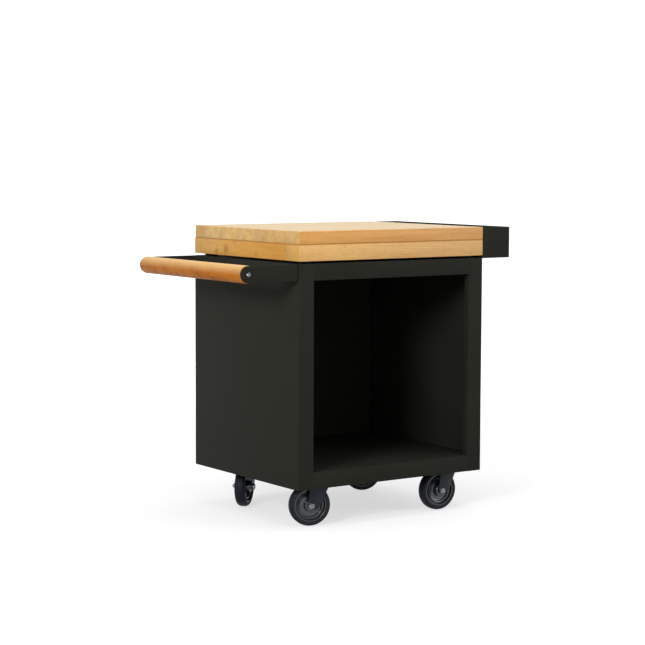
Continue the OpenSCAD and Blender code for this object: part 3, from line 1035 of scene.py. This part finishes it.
@dataclass
class Block:
    """The wooden block on its rubber pads: four apron boards under five staves."""

    outer_r: float = 1.6 * MM
    outer_segments: int = 3
    joint_r: float = 1.0 * MM
    uneven: float = 0.35 * MM
    slack: float = 0.1 * MM
    seed: int = 7
    pads: MouldedPlastic = MouldedPlastic(
        "pad_rubber", "#141414", "#1e1e1e", roughness=0.7, grain_mm=1.0, bump=0.2,
    )
    aprons: dict[str, Rubberwood] = field(default_factory=lambda: {
        "front_apron": Rubberwood(
            "rubberwood_front_apron", Grain.ALONG_X, (0, -190, 740), early="#dcae6a", late="#bd7f3c",
            end_early="#cb9d4d", end_late="#b07f33", end_lines=0.3,
            knots=(Knot((-136, -295, 836), 6, 0.4), Knot((-108, -295, 819), 5, 0.25),
                   Knot((-296, -232, 810), 4, 0.4)),
        ),
        "back_apron": Rubberwood(
            "rubberwood_back_apron", Grain.ALONG_X, (0, 300, 740), end_early="#c99b4c", end_late="#af7b32",
            end_lines=0.3,
        ),
        "left_apron": Rubberwood(
            "rubberwood_left_apron", Grain.ALONG_Y, (-180, 0, 720), ring_mm=9, early="#cf9a40",
            late="#ab6e20", lines=0.3, patch=0.6,
            knots=(Knot((-296.5, 164, 803), 14, 0.95), Knot((-296.5, 109, 812), 19, 0.95),
                   Knot((-296.5, -62, 804), 10, 0.75), Knot((-296.5, 60, 836), 9, 0.6)),
        ),
        "right_apron": Rubberwood("rubberwood_right_apron", Grain.ALONG_Y, (420, 0, 740), lines=0.3),
    })
    staves: tuple[Rubberwood, ...] = (
        Rubberwood(
            "rubberwood_stave_1", Grain.ALONG_X, (0, -420, 850), early="#d99f56", late="#b87833",
            end_early="#d2ad6b", end_late="#a8783a",
        ),
        Rubberwood(
            "rubberwood_stave_2", Grain.ALONG_X, (0, -62, 822), early="#dfba84", late="#c99a60",
            end_early="#d0a968", ring_mm=7, wide=2.0,
        ),
        Rubberwood(
            "rubberwood_stave_3", Grain.ALONG_X, (0, 42, 884), early="#dcb57c", late="#c6955a", wide=1.5,
        ),
        Rubberwood(
            "rubberwood_stave_4", Grain.ALONG_X, (0, 178, 828), early="#e0bc88", late="#ca9c63", wide=1.9,
            knots=(Knot((-296, 168, 867), 4, 0.4),),
        ),
        Rubberwood(
            "rubberwood_stave_5", Grain.ALONG_X, (0, 440, 862), early="#ddb780", late="#c8985e",
            end_early="#c8a25f", end_late="#a37436",
        ),
    )

    def build(self, zinc: Material) -> None:
        """Builds the boards of both layers, and dresses the pads and the screws.

        Args:
            zinc: The fasteners' material.
        """
        dice = random.Random(self.seed)
        for node, wood in self.aprons.items():
            self.board(node, wood, "apron_wood", dice)
        for number, wood in enumerate(self.staves, 1):
            self.board(f"stave_{number}", wood, "stave_wood", dice)
        dress_nodes(self.pads.build(), "block_pads")
        dress_nodes(zinc, "block_screws")

    def board(self, node: str, wood: Rubberwood, slot: str, dice: random.Random) -> None:
        """Planes one board: its edges are broken, and its ends are a hair off those of the next one.

        Args:
            node: The board's node.
            wood: Its finish.
            slot: Its material slot.
            dice: The source of its random lengths.
        """
        low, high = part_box(node)
        shape = Shape.block(f"{node}_board", low, high)
        axis = 0 if wood.grain is Grain.ALONG_X else 1
        block_low, block_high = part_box("front_apron")[0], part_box("back_apron")[1]
        margin = self.uneven + self.slack

        def on_outline(p: Vector) -> bool:
            """Says whether a corner lies on the block's own outline in plan."""
            return (p.x < block_low.x + margin or p.x > block_high.x - margin
                    or p.y < block_low.y + margin or p.y > block_high.y - margin)

        with shape.editing():
            for end, sign in ((low, 1), (high, -1)):
                shape.pick(Part.FACES, lambda p: near(p[axis], end[axis]))
                step = [0.0, 0.0, 0.0]
                step[axis] = sign * dice.uniform(0, self.uneven)
                shape.shift(*step)
            for height in (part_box("stave_1")[1].z, block_low.z):
                shape.pick(Part.EDGES, lambda p: near(p.z, height) and on_outline(p))
                mesh = bmesh.from_edit_mesh(shape.piece.data)
                if any(e.select for e in mesh.edges):
                    shape.round_picked(self.outer_r, self.outer_segments)
        shape.soften(self.joint_r, 2, 60)
        fit_piece(shape.smooth(), "root", slot, wood.build(), node)


@dataclass
class Handle:
    """The push handle: a strip bent twice, a round wooden grip and the button heads that hold them."""

    strip_t: float = 5 * MM
    bend_r: float = 8 * MM
    bend_segments: int = 8
    end_sides: int = 64
    edge_r: float = 0.8 * MM
    grip_end_r: float = 1.5 * MM
    arm_play: float = 0.2 * MM
    screws: int = 4
    wood: Rubberwood = Rubberwood(
        "varnished_grip_wood", Grain.ALONG_Y, (-505, 0, 700), early="#b46a12", late="#814408",
        end_early="#c58643", end_late="#925624", ring_mm=9, lines=0.3, patch=0.7, patch_mm=(70.0, 34.0),
        # A pale painted highlight along the grip's top, fading out round its sides
        coat=0.05, roughness=0.5, shine=0.1, painted_top_sheen="#e3bf84", painted_top_sheen_share=0.75, painted_top_sheen_from=-0.1,
        knot="#6b3a12", knots=(
            Knot((-490, -136, 743), 9, 0.85), Knot((-490, -256, 770), 12, 0.35),
            Knot((-488, 72, 744), 10, 0.85), Knot((-490, 110, 745), 7, 0.6),
            Knot((-492, 200, 748), 10, 0.5), Knot((-495, -20, 765), 14, 0.35),
        ),
    )

    def build(self, coat: Material, zinc: Material) -> None:
        """Builds the strip, the grip and the bolts' heads, and dresses the other fasteners.

        Args:
            coat: The steel's material.
            zinc: The fasteners' material.
        """
        self.strip(coat)
        self.grip()
        low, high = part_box("grip_bolts")
        centre = (low + high) / 2
        arm_low, arm_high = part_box("handle_bracket")
        master = button_head()
        for name, y, turn in (("front", arm_low.y, QUARTER), ("back", arm_high.y, -QUARTER)):
            place = Matrix.Translation((centre.x, y, centre.z)) @ Matrix.Rotation(turn, 4, "X")
            nodes = ("grip_bolts",) if name == "front" else ()
            fit_piece(copy_to(master, f"grip_bolt_{name}", place), "root", "zinc", zinc, *nodes)
        screws_low, screws_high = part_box("bracket_screws")
        first, last = screws_low.y + BUTTON_R, screws_high.y - BUTTON_R
        outwards = Matrix.Rotation(-QUARTER, 4, "Y")
        for number in range(self.screws):
            y = first + (last - first) * number / (self.screws - 1)
            place = Matrix.Translation((arm_high.x - self.strip_t, y, centre.z)) @ outwards
            nodes = ("bracket_screws",) if number == 0 else ()
            fit_piece(copy_to(master, f"bracket_screw_{number + 1}", place), "root", "zinc", zinc, *nodes)
        discard(master)
        dress_nodes(zinc, "grip_inserts", "bracket_nuts")

    def strip(self, coat: Material) -> None:
        """Bends the strip from a round end, round two corners, to the other round end.

        Args:
            coat: The steel's material.
        """
        low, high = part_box("handle_bracket")
        radius = (high.z - low.z) / 2
        axis_x, axis_z = low.x + radius, low.z + radius
        deselect_all()
        bpy.ops.mesh.primitive_circle_add(
            vertices=self.end_sides, radius=radius, fill_type="NGON",
            location=(axis_x, low.y, axis_z), rotation=(QUARTER, 0, 0),
        )
        shape = Shape("handle_strip")
        with shape.editing():
            bpy.ops.mesh.select_all(action="SELECT")
            bpy.ops.mesh.bisect(plane_co=(axis_x, low.y, axis_z), plane_no=(1, 0, 0), clear_outer=True)
            shape.pick(Part.EDGES, lambda p: near(p.x, axis_x))
            shape.pull(x=high.x - axis_x)
            shape.pull(y=-low.y)
            shape.pick(Part.EDGES, lambda p: near(p.x, high.x) and near(p.y, low.y))
            shape.round_picked(self.bend_r, self.bend_segments)
        shape.modify("MIRROR", use_axis=(False, True, False), use_clip=True, merge_threshold=1e-5)
        shape.face_the_way(lambda p: near(p.y, low.y), Vector((0, -1, 0)))
        fit_folded(shape, self.strip_t, self.edge_r, coat, "handle_bracket", 3)

    def grip(self) -> None:
        """Turns the grip, with its ends broken, between the arms."""
        low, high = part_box("handle_grip")
        radius = (high.z - low.z) / 2
        length = high.y - low.y - 2 * self.arm_play
        shape = Shape.drum("handle_grip_turned", (0, 0, -length / 2), radius, length, 96)
        with shape.editing():
            for end in (-length / 2, length / 2):
                shape.pick(Part.EDGES, lambda p: near(p.z, end))
                shape.round_picked(self.grip_end_r, 3)
            shape.pick(Part.FACES, lambda p: p.to_2d().length > radius - 0.1 * MM)
            bpy.ops.mesh.subdivide(number_cuts=1)
        grip = shape.smooth(40)
        grip.matrix_world = (
            Matrix.Translation((low.x + radius, 0, low.z + radius)) @ Matrix.Rotation(QUARTER, 4, "X")
        )
        bpy.ops.object.transform_apply(location=True, rotation=True, scale=True)
        fit_piece(grip, "root", "grip_wood", self.wood.build(), "handle_grip")


BUTTON_R = 7 * MM


def button_head() -> Object:
    """Models an M8 button head with its hexagon socket, on z = 0 at the origin.

    Returns:
        The head.
    """
    head_h, rim_h, top_r = 4.4 * MM, 1.2 * MM, 4.2 * MM
    socket_across, socket_d = 5 * MM, 2.6 * MM
    edge_r, dome_steps = 0.25 * MM, 5
    dome = [
        (top_r + (BUTTON_R - top_r) * math.sin(a), 0.0, rim_h + (head_h - rim_h) * math.cos(a))
        for a in (QUARTER * k / dome_steps for k in range(1, dome_steps + 1))
    ]
    stations = [(0.0, 0.0, head_h), (top_r, 0.0, head_h), *dome]
    head = Shape.turned("button_head", stations, 48)
    tool = Shape.drum("socket", (0, 0, head_h - socket_d), socket_across / math.sqrt(3), socket_d + MM, 6)
    head.cut(tool)
    head.soften(edge_r, 2, 55)
    return head.smooth(35)


def hexagon_head(name: str, across: float, height: float) -> Object:
    """Models a hexagon head with a rounded upper edge on a washer, from z = 0 up at the origin.

    Args:
        name: The piece's name.
        across: The width across its flats.
        height: Its height with the washer.

    Returns:
        The head with its washer.
    """
    washer_r, washer_t, washer_edge_r = 9.6 * MM, 1.2 * MM, 0.3 * MM
    upper_r, edge_r = 2.2 * MM, 0.35 * MM
    head = Shape.drum(name, (0, 0, washer_t), across / math.sqrt(3), height - washer_t, 6)
    with head.editing():
        head.pick(Part.EDGES, lambda p: near(p.z, height))
        head.round_picked(upper_r, 3)
    head.soften(edge_r, 2, 35)
    washer = Shape.turned(f"{name}_washer", [(0.0, 0.0, washer_t), (washer_r, 0.0, washer_t)], 40)
    washer.soften(washer_edge_r, 2, 50)
    head.join([washer.piece])
    return head.smooth(30)


@dataclass
class Trough:
    """The folded steel trough on the right end of the block."""

    sheet: float = 2 * MM
    corner_r: float = 2.2 * MM
    edge_r: float = 0.45 * MM

    def build(self, coat: Material, zinc: Material) -> None:
        """Folds the trough from one blank and dresses its screws.

        Args:
            coat: The steel's material.
            zinc: The fasteners' material.
        """
        low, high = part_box("trough")
        shape = Shape.block("trough_folded", low, high)
        with shape.editing():
            shape.pick(Part.FACES, lambda p: near(p.z, high.z))
            bpy.ops.mesh.delete(type="FACE")
            bpy.ops.mesh.select_all(action="SELECT")
            mesh = bmesh.from_edit_mesh(shape.piece.data)
            for edge in mesh.edges:
                edge.select_set(not edge.is_boundary)
            bmesh.update_edit_mesh(shape.piece.data)
            shape.round_picked(self.corner_r, 4)
        shape.face_the_way(lambda p: near(p.x, high.x, 0.1 * MM), Vector((1, 0, 0)))
        fit_folded(shape, self.sheet, self.edge_r, coat, "trough")
        dress_nodes(zinc, "trough_screws")


@dataclass
class Casters:
    """Four swivel casters. One of each part is modelled, with its swivel axis on +Z, and copied."""

    wheel_r: float = 62.5 * MM
    tyre_half: float = 17 * MM
    shoulder_r: float = 9.5 * MM
    shoulder_w: float = 12 * MM
    shoulder_steps: int = 8
    fork_t: float = 3 * MM
    fork_half: float = 27 * MM
    fork_top: float = 134 * MM
    fork_back: float = 28 * MM
    fork_fore: float = 30 * MM
    fork_brow: float = 18 * MM
    fork_foot: float = 52.5 * MM
    heel_x: float = -34.9 * MM
    heel_r: float = 10.8 * MM
    toe_x: float = -1.6 * MM
    toe_r: float = 7.4 * MM
    crease_x: float = -2 * MM
    tuck_deg: float = 9.0
    fork_bend_r: float = 4 * MM
    fork_edge_r: float = 0.5 * MM
    wheel_edge_r: float = 0.3 * MM
    cap_inner: float = 15 * MM
    cap_edge_r: float = 0.25 * MM
    axle_hex: float = 17 * MM
    axle_head_h: float = 8 * MM
    nut_share: float = 0.72
    keys: tuple[str, ...] = ("fl", "fr", "bl", "br")
    pressed: CoatedSteel = CoatedSteel(
        "coated_pressed_steel", "#1a1f26", "#222931", roughness=0.42, shine=0.22, peel_mm=1.2, peel=0.06,
    )
    # The wheels' and tyres' side colours are lighter than their tread, partly dust and partly painted light
    nylon: MouldedPlastic = MouldedPlastic(
        "moulded_nylon", "#14171c", "#1c2026", roughness=0.17, grain_mm=3, bump=0.05, shine=0.8,
        side="#20242b",
    )
    rubber: MouldedPlastic = MouldedPlastic(
        "tyre_rubber", "#11151d", "#1a1f28", roughness=0.5, grain_mm=0.9, bump=0.2, shine=0.12,
        side="#2d2e31",
    )

    def build(self, zinc: Material) -> None:
        """Models the parts once and sets them at every corner.

        Args:
            zinc: The fasteners' material.
        """
        pressed = self.pressed.build()
        masters = {
            "wheel": self.wheel(), "tyre": self.tyre(), "fork": self.fork(), "bearing": self.bearing(),
            "axle_head": hexagon_head("axle_head", self.axle_hex, self.axle_head_h),
            "axle_nut": self.nut(),
        }
        joints = {j["name"]: j for j in frame["joints"]}
        for key in self.keys:
            swivel = Vector(joints[f"caster_{key}_swivel"]["pos_m"])
            roll = joints[f"wheel_{key}_roll"]
            axle = Vector(roll["pos_m"])
            ahead = (swivel - axle).to_2d()
            turn = Matrix.Rotation(math.atan2(ahead.y, ahead.x), 4, "Z")
            at_swivel = Matrix.Translation((swivel.x, swivel.y, 0)) @ turn
            at_axle = Matrix.Translation(axle) @ turn @ Matrix.Rotation(-QUARTER, 4, "X")
            at_nut = at_axle @ Matrix.Translation((0, 0, self.fork_half))
            at_head = at_axle @ Matrix.Rotation(math.pi, 4, "X") @ Matrix.Translation((0, 0, self.fork_half))
            nylon, rubber = (
                replace(plastic, name=f"{plastic.name}_{key}", axle=tuple(roll["axis"])).build()
                for plastic in (self.nylon, self.rubber)
            )
            caster, roller = f"caster_{key}", f"roller_{key}"
            for master, name, place, body, slot, material, node in (
                ("fork", f"fork_{key}_pressed", at_swivel, caster, "caster_steel", pressed, f"fork_{key}"),
                ("wheel", f"wheel_{key}_moulded", at_axle, roller, "wheel_nylon", nylon, f"wheel_{key}"),
                ("tyre", f"tyre_{key}_moulded", at_axle, roller, "tyre_rubber", rubber, f"tyre_{key}"),
                ("bearing", f"bearing_caps_{key}", at_axle, roller, "zinc", zinc, f"hub_bearings_{key}"),
                ("axle_head", f"axle_head_{key}", at_head, caster, "zinc", zinc, f"axle_bolt_{key}"),
                ("axle_nut", f"axle_nut_{key}_domed", at_nut, caster, "zinc", zinc, f"axle_nut_{key}"),
            ):
                fit_piece(copy_to(masters[master], name, place), body, slot, material, node)
            dress_nodes(pressed, f"caster_plate_{key}")
        for master in masters.values():
            discard(master)
        dress_nodes(zinc, "caster_bolts", "caster_nuts", "kingpins", "swivel_balls")

    def wheel(self) -> Object:
        """Turns the wheel's centre: hub, dished web with its ring, and rim.

        Returns:
            The centre, about +Z.
        """
        # Radius and half width of the section in millimetres, from the bore outwards
        section = (
            (9, 21.6), (9.4, 22), (13.2, 22), (13.6, 21.2), (15.4, 21.2), (15.8, 22), (16.8, 22),
            (17.5, 21.4), (17.9, 9), (19.4, 5.4), (22, 4.6), (30, 4.6), (34, 5.6), (35, 8), (35.3, 10.5),
            (38.4, 11.9), (38.9, 11.5), (39.6, 7.4), (41, 5.6), (43.4, 5.6), (44.8, 7.4), (45.6, 14),
            (46.6, 15), (49, 15), (49.5, 14.5), (50, 14.5),
        )
        stations = [(r * MM, -half * MM, half * MM) for r, half in section]
        shape = Shape.turned("wheel_master", stations, 96)
        shape.soften(self.wheel_edge_r, 2, 40)
        return shape.smooth(38)

    def tyre(self) -> Object:
        """Turns the tyre: side walls with a moulded groove, round shoulders and a flat tread.

        Returns:
            The tyre, about +Z.
        """
        # Radius and half width of the side walls in millimetres, from the rim outwards
        walls = [(50, 16.2), (50.4, 16.9), (51.6, 17), (51.9, 16.5), (52.6, 16.5), (52.9, 17)]
        edge, flat = self.wheel_r - self.shoulder_r, self.tyre_half - self.shoulder_w
        arc = [(edge + self.shoulder_r * math.sin(a), flat + self.shoulder_w * math.cos(a))
               for a in (QUARTER * k / self.shoulder_steps for k in range(self.shoulder_steps + 1))]
        section = [(r * MM, half * MM) for r, half in walls] + arc
        shape = Shape.turned("tyre_master", [(r, -half, half) for r, half in section], 120)
        return shape.smooth(40)

    def bearing(self) -> Object:
        """Turns the two steel bearing caps that show in the ends of the hub.

        Returns:
            Both caps as one piece, about +Z.
        """
        # Radius and distance from the wheel's middle in millimetres, from the bolt outwards
        section = ((5.1, 23.6), (7.9, 23.6), (8.3, 21.4), (10.9, 21.4))
        caps = []
        for side in (-1, 1):
            stations = [(r * MM, *sorted((side * self.cap_inner, side * out * MM))) for r, out in section]
            cap = Shape.turned(f"cap_{side}", stations, 48)
            cap.soften(self.cap_edge_r, 2, 50)
            caps.append(cap)
        caps[0].join([caps[1].piece])
        return caps[0].smooth(35)

    def nut(self) -> Object:
        """Models the axle's lock nut: hexagon, washer and domed collar round the bolt's end.

        Returns:
            The nut, from z = 0 up.
        """
        nut = hexagon_head("axle_nut_master", self.axle_hex, self.nut_share * self.axle_head_h)
        # Radius and height of the bolt's end and the collar in millimetres, from the middle outwards
        section = ((0, 10.6), (4.2, 10.6), (4.7, 10), (4.8, 7.6), (5.9, 7.6), (6.8, 6.4))
        collar = Shape.turned("collar", [(r * MM, MM, top * MM) for r, top in section], 40)
        collar.join([nut])
        return collar.smooth(30)

    def fork(self) -> Object:
        """Presses the fork: a crown with two legs, each creased so that its front edge tucks in.

        Returns:
            The fork, with its swivel axis on +Z.
        """
        span = self.fork_back + self.fork_fore
        middle = ((self.fork_fore - self.fork_back) / 2, 0, self.fork_top)
        shape = Shape.sheet("fork_master", middle, (span, 2 * self.fork_half), (0, 0, 0))
        with shape.editing():
            for side in (1, -1):
                shape.pick(Part.EDGES, lambda p: near(p.y, side * self.fork_half))
                shape.pull(z=-self.fork_brow)
                shape.pull(z=self.fork_foot - self.fork_top + self.fork_brow)
            for x_now, x_next, radius in ((-self.fork_back, self.heel_x, self.heel_r),
                                          (self.fork_fore, self.toe_x, self.toe_r)):
                shape.pick(Part.VERTS, lambda p: near(p.x, x_now) and near(p.z, self.fork_foot))
                shape.shift(x=x_next - x_now)
                shape.round_picked(radius, 8, "VERTICES")
            bpy.ops.mesh.select_all(action="SELECT")
            bpy.ops.mesh.bisect(plane_co=(self.crease_x, 0, 0), plane_no=(1, 0, 0))
            for side in (1, -1):
                outer = self.fork_half - MM
                shape.pick(Part.VERTS, lambda p: p.x > self.crease_x + 0.1 * MM and p.y * side > outer)
                bpy.ops.transform.rotate(
                    value=math.radians(side * self.tuck_deg), orient_axis="Z",
                    center_override=(self.crease_x, side * self.fork_half, 0),
                )
                outer = self.fork_half - self.fork_bend_r
                shape.pick(Part.EDGES, lambda p: near(p.z, self.fork_top) and p.y * side > outer)
                shape.round_picked(self.fork_bend_r, 4)
        shape.face_the_way(lambda p: near(p.z, self.fork_top), Vector((0, 0, 1)))
        shape.thicken(self.fork_t)
        shape.soften(self.fork_edge_r, 2, 60)
        return shape.smooth(40)


@dataclass(frozen=True)
class Softbox:
    """A square soft lamp, with its side in metres and its power in watts."""

    name: str
    place: Point
    target: Point
    size: float
    watts: float

    def hang(self) -> None:
        """Hangs the lamp at its place, and turns it to its target."""
        data = bpy.data.lights.new(self.name, "AREA")
        data.shape = "SQUARE"
        data.size = self.size
        data.energy = self.watts
        lamp = bpy.data.objects.new(self.name, data)
        bpy.context.scene.collection.objects.link(lamp)
        away = Vector(self.place) - Vector(self.target)
        lamp.matrix_world = Matrix.Translation(self.place) @ away.to_track_quat("Z", "Y").to_matrix().to_4x4()


@dataclass
class Studio:
    """A plain floor, soft lamps, a pale world and the camera at the photograph's place."""

    eye: Vector = field(default_factory=lambda: Vector((-3286.6, -4744.5, 1094.5)) * MM)
    yaw_deg: float = -34.6258
    pitch_deg: float = 5.0997
    roll_deg: float = 0.1959
    lens_mm: float = 103.56
    sensor_mm: float = 36.0
    sight: float = 200.0
    floor_size: float = 60.0
    world_light: float = 0.55
    lamps: tuple[Softbox, ...] = (
        Softbox("key_softbox", (-3.95, -2.1, 2.1), (0.0, 0.0, 0.6), 1.1, 129),
        Softbox("top_softbox", (0.3, -0.2, 3.4), (0.0, 0.0, 0.8), 2.4, 45),
        Softbox("fill_softbox", (3.1, -3.3, 1.8), (0.0, 0.0, 0.5), 2.4, 44),
    )

    def build(self) -> None:
        """Sets the stage."""
        self.camera()
        deselect_all()
        bpy.ops.mesh.primitive_plane_add(size=self.floor_size, location=(0, 0, 0))
        floor = bpy.context.object
        floor.name = "studio_floor"
        dress(floor, StudioFloor().build())
        self.world()
        for lamp in self.lamps:
            lamp.hang()
        bpy.context.scene.view_settings.view_transform = "Standard"

    def camera(self) -> None:
        """Puts the camera where the photograph was taken from."""
        data = bpy.data.cameras.new("photo_camera")
        data.lens = self.lens_mm
        data.sensor_width = self.sensor_mm
        data.clip_end = self.sight
        camera = bpy.data.objects.new("photo_camera", data)
        bpy.context.scene.collection.objects.link(camera)
        camera.matrix_world = (
            Matrix.Translation(self.eye)
            @ Matrix.Rotation(math.radians(self.yaw_deg), 4, "Z")
            @ Matrix.Rotation(QUARTER - math.radians(self.pitch_deg), 4, "X")
            @ Matrix.Rotation(math.radians(self.roll_deg), 4, "Z")
        )
        bpy.context.scene.camera = camera

    def world(self) -> None:
        """Lights the object softly from all round, and shows white behind it."""
        world = bpy.data.worlds.new("studio_world")
        bpy.context.scene.world = world
        world.use_nodes = True
        tree = world.node_tree
        tree.nodes.clear()
        strength = add_node(tree, "ShaderNodeMapRange", None, {
            "Value": plain_rays(tree), "To Min": self.world_light, "To Max": 1.0,
        }).outputs[0]
        back = add_node(tree, "ShaderNodeBackground", None, {
            "Color": (1.0, 1.0, 1.0, 1.0), "Strength": strength,
        })
        add_node(tree, "ShaderNodeOutputWorld", None, {"Surface": back.outputs[0]})


def main() -> None:
    """Sets the stage, then builds and dresses the sub-assemblies in order."""
    logging.basicConfig(level=logging.INFO, format="%(name)s: %(message)s")
    Studio().build()
    zinc = ZincPlate().build()
    coat = Cabinet().build()
    Block().build(zinc)
    Handle().build(coat, zinc)
    Trough().build(coat, zinc)
    Casters().build(zinc)


if __name__ == "__main__":
    main()
